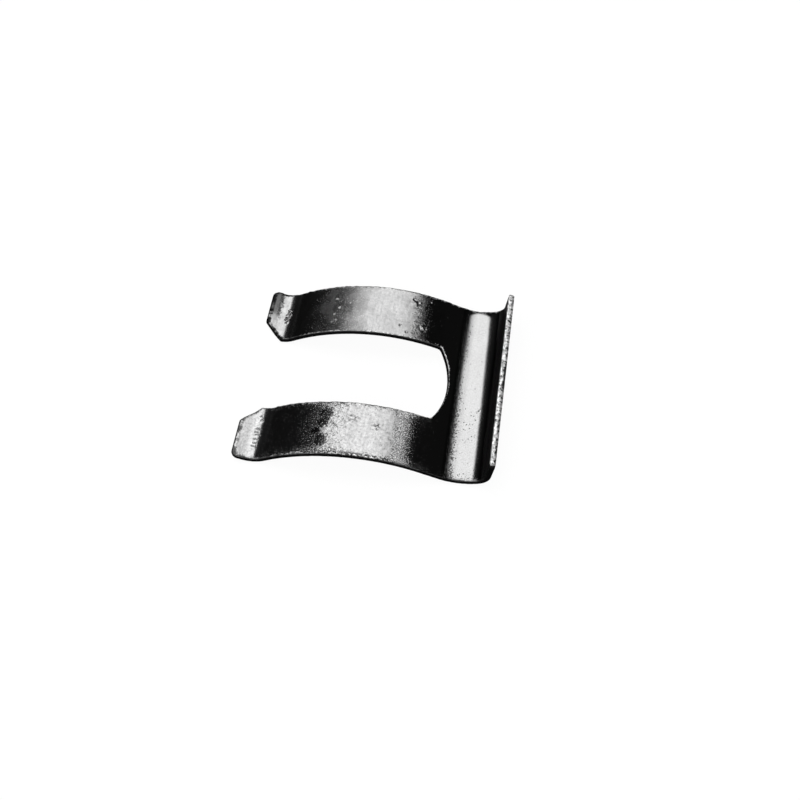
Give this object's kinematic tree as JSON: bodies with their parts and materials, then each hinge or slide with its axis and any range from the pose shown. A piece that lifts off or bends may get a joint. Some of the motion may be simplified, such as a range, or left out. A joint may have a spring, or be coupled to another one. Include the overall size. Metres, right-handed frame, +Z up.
{
  "type": "e-clip",
  "caption": "Bowed spring-steel clip with an open slot between two legs and an upturned flange, pushed over a groove to hold a hose or cable end in its bracket.",
  "frame": {"origin": "middle of the clip's footprint, on the surface that it lies on", "axes": "+X along the legs from the tips to the flange, +Y across the legs, +Z up"},
  "size_m": [0.035, 0.028, 0.0054],
  "materials": {
    "spring_steel": "dark hardened spring strip, smooth and oiled, with pits, scratches and rough sheared edges"
  },
  "bodies": {
    "root": {"clip": "spring_steel"}
  },
  "joints": []
}
